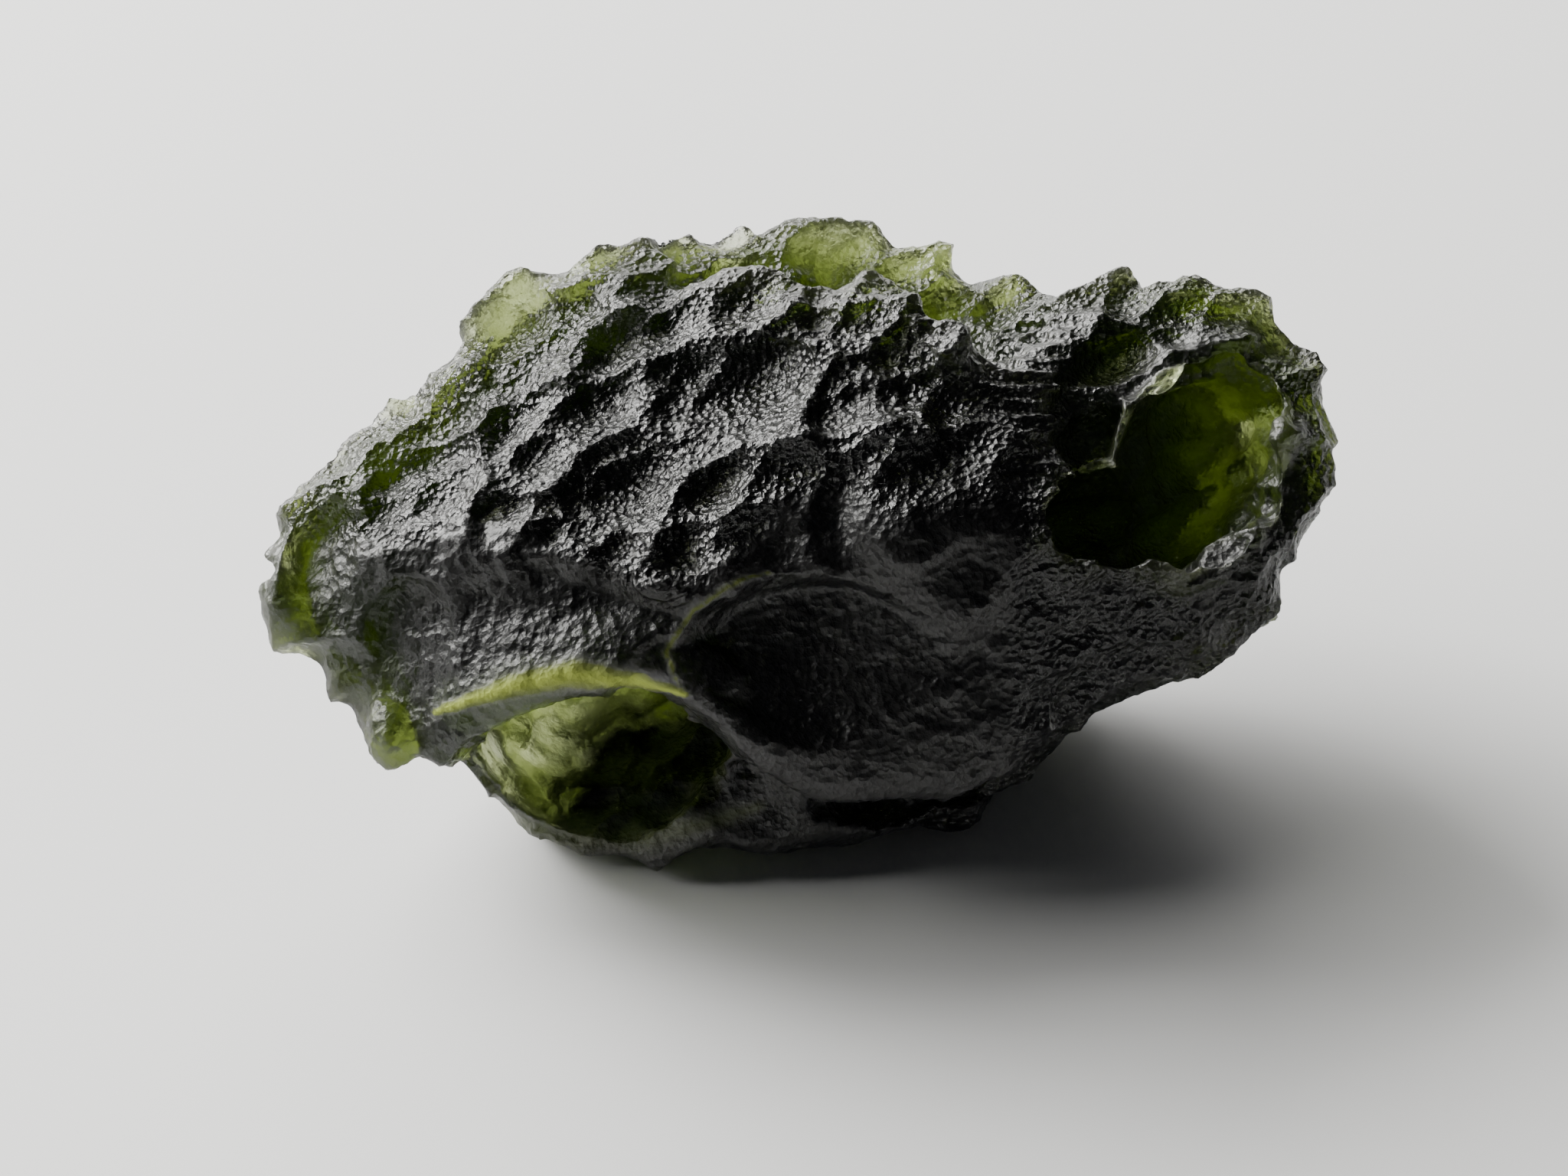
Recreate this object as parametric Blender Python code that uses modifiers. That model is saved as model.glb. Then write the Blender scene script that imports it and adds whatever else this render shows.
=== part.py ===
"""Tektite: one lump of natural green glass, 36 mm long, etched all over into scallops.

The lump is lofted from cross-sections across its length, hollowed by ellipsoids, etched with scallops
whose edges meet in crests, and set down on flats worn on its lowest crests.

Sections are drawn in the lump's own upright frame, in millimetres: U runs along the lump, V up its broad
face and W out of that face. The lump rests leaning back by LEAN, with its broad face looking up at a
slant. In the finished part X is U, Z is up and the origin is under the middle, on the surface it stands on.
"""

import math
import random

import bmesh
import bpy
import numpy as np
from mathutils import Euler, Matrix, Vector
from mathutils.bvhtree import BVHTree

MM = 0.001
NODE = "tektite"

# Driving dimensions
LEAN = math.radians(40)  # how far the broad face leans back from upright
SOLE = np.array((0, -math.cos(LEAN), -math.sin(LEAN)))  # straight down, as the lump rests
GRAIN = 0.22  # edge of a voxel when the lump is made one skin
FINE_GRAIN = 0.16  # and when the etched skin is
TIP = 0.75  # length of the blunt point beyond the last section, at each end
WORN = 0.55  # depth of the flats worn on the lowest crests
FACES = 9200  # triangles left on the finished solid
SOFTENING = 9  # rounds of softening that the normals get before the skin is moved along them
FAR = 20  # clear of the lump, out from its broad face
SEED = 11

# Distance of each cross-section along the lump
STATIONS = (-17.3, -15.0, -12.6, -10.7, -9.0, -6.0, -3.0, 0.0, 3.0, 6.0, 9.0, 12.0, 15.0, 17.0)

# Lines along the lump, each with its (V, W) at every station. Together they go once round the section.
LINES = {
    "top edge": (
        (1.9, -1.0), (4.3, -1.5), (5.9, -2.0), (8.5, -2.4), (9.4, -2.6), (10.4, -3.0), (11.0, -5.2),
        (11.2, -6.3), (10.7, -6.7), (9.6, -6.3), (9.0, -4.9), (9.1, -3.6), (8.2, -2.8), (6.1, -1.8),
    ),
    "gully": (
        (1.3, -0.2), (3.4, -0.6), (4.8, -0.9), (7.0, -1.2), (8.0, -1.3), (9.2, -1.4), (8.6, -2.8),
        (6.9, -3.4), (6.1, -3.6), (6.3, -3.2), (7.6, -1.9), (8.0, -1.7), (7.1, -1.6), (5.4, -1.2),
    ),
    "crest": (
        (0.9, 0.4), (2.7, 0.2), (3.8, -0.1), (5.6, -0.3), (6.5, -0.4), (7.8, -0.2), (9.0, -0.6),
        (8.9, 0.2), (8.3, 0.8), (6.0, 2.2), (5.6, -0.6), (6.4, -0.6), (5.8, -0.4), (4.8, -0.5),
    ),
    "top face": (
        (0.5, 0.8), (1.8, 1.0), (2.5, 1.1), (3.4, 1.3), (3.9, 1.5), (4.4, 1.9), (5.0, 2.3),
        (5.4, 2.7), (5.2, 3.3), (4.0, 3.7), (4.2, 1.4), (4.0, 1.4), (3.6, 1.0), (3.4, 0.2),
    ),
    "break": (
        (0.1, 1.0), (0.4, 1.8), (0.2, 2.4), (1.2, 3.0), (0.6, 3.6), (-0.8, 4.4), (-0.6, 5.2),
        (1.9, 4.8), (1.1, 5.8), (1.4, 5.2), (0.4, 4.1), (-0.2, 3.5), (0.8, 2.1), (2.0, 0.5),
    ),
    "front face": (
        (-1.5, 1.2), (-2.4, 1.4), (-2.6, 2.0), (-2.4, 2.8), (-2.2, 3.3), (-2.2, 3.9), (-2.8, 4.2),
        (-3.4, 3.9), (-3.4, 4.0), (-3.4, 3.8), (-2.6, 3.4), (-2.2, 3.0), (-1.0, 1.9), (1.0, 0.5),
    ),
    "ledge": (
        (-3.7, 0.0), (-6.0, 0.6), (-7.1, 1.4), (-5.6, 2.9), (-4.9, 3.7), (-4.5, 4.3), (-5.6, 4.4),
        (-7.7, 3.2), (-7.8, 3.0), (-7.7, 2.4), (-5.8, 2.0), (-4.5, 1.4), (-2.8, 0.6), (0.2, -0.3),
    ),
    "recess": (
        (-3.8, -0.6), (-6.0, -0.3), (-7.4, 0.4), (-7.0, 0.6), (-6.4, 0.4), (-5.9, 0.0), (-6.8, 0.6),
        (-8.1, 0.8), (-8.1, 0.4), (-8.1, -0.4), (-6.2, -0.4), (-4.8, -0.2), (-2.9, -0.6), (0.1, -0.9),
    ),
    "base front": (
        (-3.0, -1.2), (-4.9, -1.2), (-6.2, -1.0), (-8.4, -1.5), (-10.1, -1.9), (-10.9, -1.5), (-10.5, -1.4),
        (-10.0, -1.9), (-9.7, -2.6), (-9.4, -3.0), (-6.1, -2.4), (-4.4, -2.0), (-2.6, -1.8), (0.5, -1.5),
    ),
    "base back": (
        (-2.2, -1.9), (-3.5, -2.9), (-4.4, -4.2), (-5.4, -6.2), (-5.6, -7.6), (-4.9, -8.5), (-4.6, -8.9),
        (-4.5, -9.0), (-4.5, -9.0), (-4.7, -9.0), (-4.2, -8.4), (-3.2, -7.3), (-1.4, -5.2), (1.2, -2.6),
    ),
    "back": (
        (-0.8, -2.3), (-0.5, -4.0), (-0.4, -5.4), (0.6, -7.0), (1.5, -7.8), (2.8, -8.2), (3.4, -8.4),
        (3.6, -8.6), (3.5, -8.8), (3.2, -9.1), (2.6, -9.2), (2.0, -8.8), (2.2, -7.0), (2.8, -3.4),
    ),
    "back rim": (
        (0.6, -2.0), (2.2, -3.2), (3.4, -4.0), (5.2, -4.8), (6.4, -5.1), (7.8, -6.0), (8.4, -7.6),
        (8.4, -8.8), (8.0, -9.0), (7.4, -8.8), (6.8, -8.3), (6.4, -7.4), (5.9, -5.6), (4.6, -3.0),
    ),
}

# Hollows cut into the lump, and bosses left standing on it, as ellipsoids: (U, V, W) of the middle,
# radii along their own U, V and W, and their pitch about U and turn in the broad face, in degrees
HOLLOWS = {
    "pit mouth": ((12.5, 2.9, 3.2), (3.2, 4.0, 3.3), 0, -18),
    "deep pit": ((12.7, 2.5, 1.1), (2.2, 3.9, 4.0), 0, -27),
    "upper pit": ((9.2, 4.2, 1.9), (1.2, 2.6, 1.9), 0, -5),
    "slot": ((9.8, 0.6, 2.4), (2.6, 1.6, 4.4), 0, 12),
    "arch": ((-6.6, -6.0, -1.3), (4.1, 3.1, 5.7), 40, 0),
    "arch mouth": ((-6.4, -7.9, 1.8), (3.7, 2.3, 3.4), 0, 0),
    "arch crown": ((-7.2, -5.0, 0.5), (4.3, 1.9, 2.6), 0, 0),
    "right arch": ((3.2, -9.0, 0.6), (3.4, 1.3, 2.4), 20, 0),
    "gully": ((1.6, 9.6, -2.6), (5.2, 1.9, 1.0), 0, -10),
    "notch": ((-12.3, -9.0, -1.0), (1.0, 2.2, 6.0), 0, 0),
    "tip notch": ((-18.4, -1.1, -0.6), (1.1, 0.45, 4.0), 0, 0),
}
BOSSES = {
    "dark peak": ((2.0, 7.6, -0.1), (1.5, 1.3, 1.3), 0, 0),
    "left tooth": ((-13.4, -6.3, 1.2), (0.8, 1.2, 0.7), 0, 20),
    "back tooth": ((15.1, -2.1, -3.2), (1.1, 2.0, 1.6), 0, -15),
}

# Basins: wide shallow cups seen from the front, as (U, V) of the middle, their reach along U and V, and depth
BASINS = (
    (0.3, -3.8, 4.7, 2.9, 1.4), (7.4, -3.8, 3.0, 2.6, 0.3), (12.6, -2.4, 3.0, 2.0, 0.6),
    (-8.2, -2.8, 4.6, 2.3, 0.25), (-15.2, -0.9, 1.9, 2.7, 1.2), (-12.6, -3.6, 1.9, 2.6, 0.7),
    (-9.3, 0.6, 2.2, 1.2, 0.9), (4.6, -6.6, 4.0, 1.6, 0.12), (-1.5, -8.6, 2.4, 1.4, 0.7),
    (15.8, 5.4, 1.4, 2.2, 0.6), (15.6, 1.0, 1.5, 2.0, 0.6),
)
SEEDED_BASIN = (3.4, 0.9)  # reach and depth of the basins on the rest of the lump
WALL = 2.2  # how steep a basin's walls are; its floor rises from its upper left to its lower right
UNDERSIDE = 0.7  # no basin is sunk where the skin faces down by this much

# Scallops seen from the front: (U, V) of the middle, radius and depth
SCALLOPS = (
    (-10.1, 7.3, 1.7, 0.68), (-7.4, 7.9, 1.4, 0.47), (-4.2, 8.6, 1.5, 0.62), (-1.9, 7.8, 1.6, 0.54),
    (-11.7, 3.9, 2.3, 0.82), (-14.0, 4.2, 1.5, 0.47), (-16.1, 2.4, 1.6, 0.47), (-13.8, 2.4, 1.4, 0.47),
    (-11.5, 1.7, 1.7, 0.54), (-13.8, 0.9, 1.3, 0.41), (-8.9, 2.4, 1.2, 0.41), (-7.9, 1.3, 1.0, 0.34),
    (-8.2, 0.1, 1.4, 0.54), (-5.5, 1.9, 1.9, 0.62), (-4.2, -0.5, 1.6, 0.47), (-6.7, 4.4, 1.7, 0.62),
    (-9.9, 4.8, 1.5, 0.47), (-8.7, 6.1, 1.3, 0.41), (-6.6, 6.5, 1.5, 0.54), (-4.6, 6.9, 1.4, 0.47),
    (-1.9, 5.2, 2.6, 0.88), (-5.0, 4.1, 1.3, 0.41), (-3.2, 3.3, 1.4, 0.41), (1.5, 6.9, 1.3, 0.41),
    (3.2, 6.4, 1.4, 0.54), (0.9, 4.1, 1.5, 0.54), (3.4, 4.9, 1.7, 0.68), (5.5, 4.6, 1.2, 0.41),
    (3.9, 2.4, 2.4, 0.82), (0.2, 2.4, 2.2, 0.62), (7.7, 7.2, 1.4, 0.41), (7.7, 5.6, 1.1, 0.30),
    (7.7, 4.2, 1.1, 0.30), (7.6, 3.0, 1.1, 0.30), (12.1, 7.4, 1.3, 0.54), (13.8, 7.4, 1.3, 0.47),
    (4.9, -0.3, 1.4, 0.40), (7.0, -1.0, 1.3, 0.36), (8.8, -2.7, 1.4, 0.34), (11.2, -2.6, 1.4, 0.36),
    (13.1, -1.6, 1.3, 0.36),
)
SEEDED_SCALLOP = (1.65, 0.70)  # radius and depth of the scallops on the rest of the lump
CALM_SCALLOP = (1.8, 0.06)  # and on the smooth front face
CALM_END = 6.5  # U of the smooth face's right end
CALM_TOP = 0.4  # distance of its top edge below the break
CALM_BACK = -0.5  # least W on it
CALM_FACING = 0.3  # least W of its normals
FLOW = (60, 1)  # slope of the etching's flow at U = 0, and its change for a millimetre of U, in degrees
UPHILL, DOWNHILL, ACROSS = 0.36, 1.45, 1.25  # a scallop's reach along and across the flow, in radii
BOWL = 0.75  # how round a scallop is in section: 1 for a bowl, a half for a cone
CREST = 1.0  # height that a crest may stand, as a share of its scallop's depth
LIFT = 0.35  # height that the etched skin stands off the one it was drawn on
SPACING = 0.62  # least distance between two scallops, as a share of their radii together
TRIES = 9000  # places tried when the skin is filled with scallops
HALF_SPAN = (19, 12, 10)  # U, V and W that the places tried are drawn from, either way
VARIED = (0.7, 1.25)  # least and most that a seeded radius or depth may be, as a share of the usual
SOUND = 0.2  # most of a wall's thickness that the etching takes from one side
THICK = 6.0  # walls thicker than this are etched freely


def hermite(values, places, wanted):
    """Values on a smooth curve through `values` at `places`, read at `wanted`."""
    values = np.asarray(values, float)
    places = np.asarray(places, float)
    slopes = np.gradient(values, places, axis=0)
    i = np.clip(np.searchsorted(places, wanted, side="right") - 1, 0, len(places) - 2)
    span = places[i + 1] - places[i]
    t = ((wanted - places[i]) / span)[:, None]
    span = span[:, None]
    return (
        (2 * t**3 - 3 * t**2 + 1) * values[i]
        + (t**3 - 2 * t**2 + t) * span * slopes[i]
        + (3 * t**2 - 2 * t**3) * values[i + 1]
        + (t**3 - t**2) * span * slopes[i + 1]
    )


def closed_curve(points, count):
    """`count` points on a smooth closed curve through `points`."""
    n = len(points)
    looped = np.vstack([points[-2:], points, points[:2]])
    return hermite(looped, np.arange(-2, n + 2), np.linspace(0, n, count, endpoint=False))


def section_loops(along=90, around=96):
    """The lump's cross-sections, evenly spaced along it, as an array (along, around, 3) of U, V, W."""
    places = np.linspace(STATIONS[0], STATIONS[-1], along)
    lines = [hermite(line, STATIONS, places) for line in LINES.values()]
    corners = np.stack(lines, axis=1)
    loops = np.empty((along, around, 3))
    for k, place in enumerate(places):
        loops[k, :, 0] = place
        loops[k, :, 1:] = closed_curve(corners[k], around)
    return loops


def loft(name, loops):
    """A closed mesh through the loops, with each end drawn in to a blunt point."""
    mesh = bpy.data.meshes.new(name)
    shape = bmesh.new()
    rings = [[shape.verts.new(p) for p in loop] for loop in loops]
    for near, far in zip(rings, rings[1:]):
        for a, b, c, d in zip(near, near[1:] + near[:1], far[1:] + far[:1], far):
            shape.faces.new((a, b, c, d))
    for ring, outwards in ((rings[0], -1), (rings[-1], 1)):
        middle = sum((v.co for v in ring), Vector()) / len(ring)
        tip = shape.verts.new(middle + Vector((TIP * outwards, 0, 0)))
        for a, b in zip(ring, ring[1:] + ring[:1]):
            shape.faces.new((a, b, tip) if outwards < 0 else (b, a, tip))
    bmesh.ops.recalc_face_normals(shape, faces=shape.faces)
    shape.to_mesh(mesh)
    shape.free()
    return mesh


def lean_back():
    """Turns the lump's own frame, in millimetres, to the way it rests, in metres."""
    turn = Matrix((
        (1, 0, 0),
        (0, math.sin(LEAN), -math.cos(LEAN)),
        (0, math.cos(LEAN), math.sin(LEAN)),
    ))
    return (turn * MM).to_4x4()


def link(obj, collection):
    """Puts the object in the collection, and gives it back."""
    collection.objects.link(obj)
    return obj


def apply_modifiers(obj):
    """Replaces the object's mesh with the one that its modifiers make."""
    bpy.context.view_layer.update()
    evaluated = obj.evaluated_get(bpy.context.evaluated_depsgraph_get())
    obj.data = bpy.data.meshes.new_from_object(evaluated)
    obj.modifiers.clear()


def ellipsoid(name, middle, radii, pitch, turn, collection):
    """An ellipsoid that a hollow is cut with or a boss is made of."""
    mesh = bpy.data.meshes.new(name)
    shape = bmesh.new()
    bmesh.ops.create_icosphere(shape, subdivisions=4, radius=1)
    shape.to_mesh(mesh)
    shape.free()
    spin = Euler((math.radians(pitch), 0, math.radians(turn))).to_matrix().to_4x4()
    mesh.transform(Matrix.Translation(middle) @ spin @ Matrix.Diagonal((*radii, 1)))
    tool = link(bpy.data.objects.new(name, mesh), collection)
    tool.hide_render = True
    tool.display_type = "WIRE"
    return tool


def combine(obj, tool, operation):
    """Joins the tool to the object, or cuts it away."""
    modifier = obj.modifiers.new(tool.name, "BOOLEAN")
    modifier.operation = operation
    modifier.solver = "EXACT"
    modifier.object = tool


def skin(obj, grain):
    """Makes the object one even skin."""
    modifier = obj.modifiers.new("one skin", "REMESH")
    modifier.mode = "VOXEL"
    modifier.voxel_size = grain
    apply_modifiers(obj)


def points_of(mesh):
    """The mesh's points."""
    points = np.empty(len(mesh.vertices) * 3)
    mesh.vertices.foreach_get("co", points)
    return points.reshape(-1, 3)


def soft_normals(mesh):
    """The normals at the mesh's points, softened over their neighbours."""
    normals = np.empty(len(mesh.vertices) * 3)
    mesh.vertices.foreach_get("normal", normals)
    ends = np.empty(len(mesh.edges) * 2, int)
    mesh.edges.foreach_get("vertices", ends)
    normals, ends = normals.reshape(-1, 3), ends.reshape(-1, 2)
    for _ in range(SOFTENING):
        total = normals.copy()
        np.add.at(total, ends[:, 0], normals[ends[:, 1]])
        np.add.at(total, ends[:, 1], normals[ends[:, 0]])
        normals = total / np.linalg.norm(total, axis=1, keepdims=True)
    return normals


def surface_of(mesh):
    """The mesh's surface, as it is now, for finding places on it."""
    return BVHTree.FromPolygons([v.co for v in mesh.vertices], [p.vertices for p in mesh.polygons])


def is_calm(places, normals):
    """True where the surface is the smooth front face, below the break."""
    breaks = hermite(LINES["break"], STATIONS, np.clip(places[:, 0], STATIONS[0], STATIONS[-1]))[:, 0]
    in_front = (normals[:, 2] > CALM_FACING) & (places[:, 2] > CALM_BACK)
    return in_front & (places[:, 1] < breaks - CALM_TOP) & (places[:, 0] < CALM_END)


def front_place(surface, u, v):
    """The place on the surface that is seen at (U, V) from the front, or nearest to it off the edge."""
    seen = surface.ray_cast(Vector((u, v, FAR)), Vector((0, 0, -1)))[0]
    return seen or surface.find_nearest(Vector((u, v, 0)))[0]


def seeded_places(surface):
    """Places all over the surface in a seeded order, the normals there, and a share of size for each."""
    chooser = random.Random(SEED)
    places, normals, shares = [], [], []
    for _ in range(TRIES):
        near = Vector([chooser.uniform(-reach, reach) for reach in HALF_SPAN])
        place, normal, _, _ = surface.find_nearest(near)
        places.append(place)
        normals.append(normal)
        shares.append(chooser.uniform(*VARIED))
    return np.array(places), np.array(normals), np.array(shares)


def fill_in(taken, places, radii):
    """Indices of the places that are clear of those taken, (U, V, W, radius) each, and of each other."""
    taken = np.array(taken)
    chosen = []
    for i, (place, radius) in enumerate(zip(places, radii)):
        gaps = np.linalg.norm(taken[:, :3] - place, axis=1)
        if (gaps > SPACING * (radius + taken[:, 3])).all():
            chosen.append(i)
            taken = np.vstack([taken, (*place, radius)])
    return chosen


def move_in(obj, surface, points, normals, shift):
    """Moves the object's points in by `shift`, held to a share of how thick the lump is there."""
    deepest = np.empty(len(points))
    for i, (point, normal) in enumerate(zip(points, normals)):
        inwards = Vector(-normal)
        gap = surface.ray_cast(Vector(point) + inwards * GRAIN / 2, inwards, THICK)[3]
        deepest[i] = SOUND * (gap or THICK)
    points = points - normals * np.minimum(shift, deepest)[:, None]
    obj.data.vertices.foreach_set("co", points.ravel())
    obj.data.update()


def sink_basins(obj):
    """Sinks the wide basins, each with a clean edge."""
    points, normals, surface = points_of(obj.data), soft_normals(obj.data), surface_of(obj.data)
    basins = [(*front_place(surface, u, v), along, across, depth) for u, v, along, across, depth in BASINS]
    taken = [(*basin[:3], max(basin[3:5])) for basin in basins]
    places, facings, shares = seeded_places(surface)
    radii = SEEDED_BASIN[0] * shares
    for i in fill_in(taken, places, radii):
        if facings[i] @ SOLE < UNDERSIDE:
            basins.append((*places[i], radii[i], radii[i], SEEDED_BASIN[1]))
    sunk = np.zeros(len(points))
    for u, v, w, along, across, depth in basins:
        away = (points - (u, v, w)) / (along, across, across)
        down = (away[:, 0] - away[:, 1]) / math.sqrt(2)
        wall = np.clip(WALL * (1 - (away**2).sum(axis=1)), 0, 1)
        sunk = np.maximum(sunk, depth * wall * (1 - down) / 2)
    move_in(obj, surface, points, normals, sunk)


def etch(obj):
    """Etches the skin into scallops that meet in crests, each steep uphill and gentle downhill."""
    points, normals, surface = points_of(obj.data), soft_normals(obj.data), surface_of(obj.data)
    scallops = [(*front_place(surface, u, v), radius, depth) for u, v, radius, depth in SCALLOPS]
    places, facings, shares = seeded_places(surface)
    calm = is_calm(places, facings)
    radii = shares * np.where(calm, CALM_SCALLOP[0], SEEDED_SCALLOP[0])
    depths = np.where(calm, CALM_SCALLOP[1], SEEDED_SCALLOP[1] * shares)
    for i in fill_in([scallop[:4] for scallop in scallops], places, radii):
        scallops.append((*places[i], radii[i], depths[i]))
    etched = np.full(len(points), -np.inf)
    for u, v, w, radius, depth in scallops:
        away = points - (u, v, w)
        slope = math.radians(FLOW[0] + FLOW[1] * u)
        down = away[:, 0] * math.cos(slope) - away[:, 1] * math.sin(slope)
        side = away[:, 0] * math.sin(slope) + away[:, 1] * math.cos(slope)
        down /= np.where(down < 0, UPHILL, DOWNHILL)
        share = ((down**2 + (side / ACROSS) ** 2 + away[:, 2] ** 2) / radius**2) ** BOWL
        etched = np.maximum(etched, depth * np.maximum(1 - share, -CREST))
    move_in(obj, surface, points, normals, etched - LIFT)


def keep_the_lump(obj):
    """Leaves the largest of the object's shells, without the crumbs and sealed bubbles of the etching."""
    shape = bmesh.new()
    shape.from_mesh(obj.data)
    unseen = set(shape.verts)
    shells = []
    while unseen:
        shell = [unseen.pop()]
        for vert in shell:
            for edge in vert.link_edges:
                other = edge.other_vert(vert)
                if other in unseen:
                    unseen.remove(other)
                    shell.append(other)
        shells.append(shell)
    shells.sort(key=len)
    crumbs = [vert for shell in shells[:-1] for vert in shell]
    bmesh.ops.delete(shape, geom=crumbs, context="VERTS")
    shape.to_mesh(obj.data)
    shape.free()


def thin_out(obj, faces):
    """Leaves about this many triangles, the most of them where the skin bends."""
    modifier = obj.modifiers.new("fewer faces", "DECIMATE")
    obj.data.calc_loop_triangles()
    modifier.ratio = faces / len(obj.data.loop_triangles)
    modifier.use_collapse_triangulate = True
    apply_modifiers(obj)


def set_down(obj):
    """Rests the lump on flats worn on its lowest crests, with the origin under its middle."""
    obj.data.transform(lean_back())
    shape = bmesh.new()
    shape.from_mesh(obj.data)
    lowest = min(v.co.z for v in shape.verts)
    bmesh.ops.translate(shape, verts=shape.verts, vec=(0, 0, -lowest - WORN * MM))
    everything = shape.verts[:] + shape.edges[:] + shape.faces[:]
    cut_edges = bmesh.ops.bisect_plane(
        shape, geom=everything, dist=1e-7, plane_co=(0, 0, 0), plane_no=(0, 0, -1), clear_outer=True
    )["geom_cut"]
    rims = [edge for edge in cut_edges if isinstance(edge, bmesh.types.BMEdge)]
    bmesh.ops.triangle_fill(shape, edges=rims, use_beauty=True, normal=(0, 0, -1))
    bmesh.ops.triangulate(shape, faces=[face for face in shape.faces if len(face.verts) > 3])
    for axis in (0, 1):
        middle = (min(v.co[axis] for v in shape.verts) + max(v.co[axis] for v in shape.verts)) / 2
        away = [0, 0, 0]
        away[axis] = -middle
        bmesh.ops.translate(shape, verts=shape.verts, vec=away)
    shape.to_mesh(obj.data)
    shape.free()


def glass():
    """Olive green natural glass."""
    material = bpy.data.materials.new("tektite glass")
    material.use_nodes = True
    shader = material.node_tree.nodes["Principled BSDF"]
    shader.inputs["Base Color"].default_value = (0.10, 0.16, 0.03, 1)
    shader.inputs["Roughness"].default_value = 0.35
    shader.inputs["Metallic"].default_value = 0.0
    return material


def main():
    """Makes the lump."""
    for obj in list(bpy.data.objects):
        bpy.data.objects.remove(obj)
    scene = bpy.context.scene.collection
    part = bpy.data.collections.new("tektite")
    cutters = bpy.data.collections.new("cutters")
    scene.children.link(part)
    scene.children.link(cutters)
    lump = link(bpy.data.objects.new(NODE, loft(NODE, section_loops())), part)
    for name, place in BOSSES.items():
        combine(lump, ellipsoid(name, *place, cutters), "UNION")
    for name, place in HOLLOWS.items():
        combine(lump, ellipsoid(name, *place, cutters), "DIFFERENCE")
    skin(lump, GRAIN)
    sink_basins(lump)
    etch(lump)
    skin(lump, FINE_GRAIN)
    keep_the_lump(lump)
    thin_out(lump, FACES)
    set_down(lump)
    lump.data.materials.clear()
    lump.data.materials.append(glass())


main()
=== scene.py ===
"""Looks of a tektite: one lump of olive green natural glass, etched all over, on a pale table.

The lump is shaped from the same cross-sections, hollows and scallops as the solid that it stands for, on a
skin fine enough for crisp crests. It is then etched again with the small dimples, rings and stripes of the
real glass, slid to where it lies closest on the solid, and given its worn flats.

Sections are drawn in the lump's own upright frame, in millimetres: U runs along the lump, V up its broad
face and W out of that face. The lump rests leaning back by LEAN, with its broad face looking up at a slant.
"""

import logging
import math
import random
from dataclasses import dataclass, field
from enum import Enum

import bpy
import numpy as np
from mathutils import Matrix, Vector, kdtree, noise
from mathutils.bvhtree import BVHTree


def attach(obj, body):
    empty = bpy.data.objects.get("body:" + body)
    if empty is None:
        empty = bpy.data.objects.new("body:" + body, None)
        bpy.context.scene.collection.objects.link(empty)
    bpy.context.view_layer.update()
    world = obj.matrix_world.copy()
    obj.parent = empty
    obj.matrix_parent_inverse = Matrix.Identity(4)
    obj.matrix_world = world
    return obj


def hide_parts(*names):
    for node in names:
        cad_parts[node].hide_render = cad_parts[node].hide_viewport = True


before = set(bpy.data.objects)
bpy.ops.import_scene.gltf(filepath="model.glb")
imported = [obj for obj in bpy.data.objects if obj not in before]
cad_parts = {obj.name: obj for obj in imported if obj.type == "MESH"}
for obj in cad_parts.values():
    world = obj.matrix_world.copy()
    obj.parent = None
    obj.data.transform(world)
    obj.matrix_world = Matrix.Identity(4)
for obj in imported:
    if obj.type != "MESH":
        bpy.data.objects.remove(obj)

Pair = tuple[float, float]
Triple = tuple[float, float, float]
Socket = bpy.types.NodeSocket

MM = 0.001
NODE = "tektite"
LEAN = math.radians(40)
FAR = 20  # clear of the lump, out from its broad face, in millimetres
UNDER_SKIN = 0.1  # just inside the skin, in millimetres
DAYLIGHT = (1.0, 0.995, 0.965)

log = logging.getLogger("tektite")


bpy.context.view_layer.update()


def deselect_all() -> None:
    """Leaves nothing selected, so that an operator acts on one object only."""
    bpy.ops.object.select_all(action="DESELECT")


def make_active(piece: bpy.types.Object) -> None:
    """Selects one object alone and makes it the active one."""
    deselect_all()
    piece.select_set(True)
    bpy.context.view_layer.objects.active = piece


def apply_modifier(piece: bpy.types.Object, modifier: bpy.types.Modifier) -> None:
    """Applies one modifier of the piece."""
    make_active(piece)
    bpy.ops.object.modifier_apply(modifier=modifier.name)


def points_of(mesh: bpy.types.Mesh) -> np.ndarray:
    """The mesh's points, one to a row."""
    points = np.empty(len(mesh.vertices) * 3)
    mesh.vertices.foreach_get("co", points)
    return points.reshape(-1, 3)


def normals_of(mesh: bpy.types.Mesh) -> np.ndarray:
    """The normals at the mesh's points, one to a row."""
    normals = np.empty(len(mesh.vertices) * 3)
    mesh.vertices.foreach_get("normal", normals)
    return normals.reshape(-1, 3)


def put_points(piece: bpy.types.Object, points: np.ndarray) -> None:
    """Puts the piece's points where they are given."""
    piece.data.vertices.foreach_set("co", points.ravel())
    piece.data.update()


def softened(mesh: bpy.types.Mesh, values: np.ndarray, rounds: int) -> np.ndarray:
    """Evens values out over the mesh.

    Args:
        mesh: the mesh whose edges say which points are neighbours.
        values: one row of values for each point.
        rounds: how many times each point shares its values with its neighbours.

    Returns:
        The softened values.
    """
    ends = np.empty(len(mesh.edges) * 2, int)
    mesh.edges.foreach_get("vertices", ends)
    near, far = ends.reshape(-1, 2).T
    count = 1 + np.bincount(ends, minlength=len(values))
    for _ in range(rounds):
        total = values.copy()
        for axis in range(values.shape[1]):
            total[:, axis] += np.bincount(near, values[far, axis], len(values))
            total[:, axis] += np.bincount(far, values[near, axis], len(values))
        values = total / count[:, None]
    return values


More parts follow.
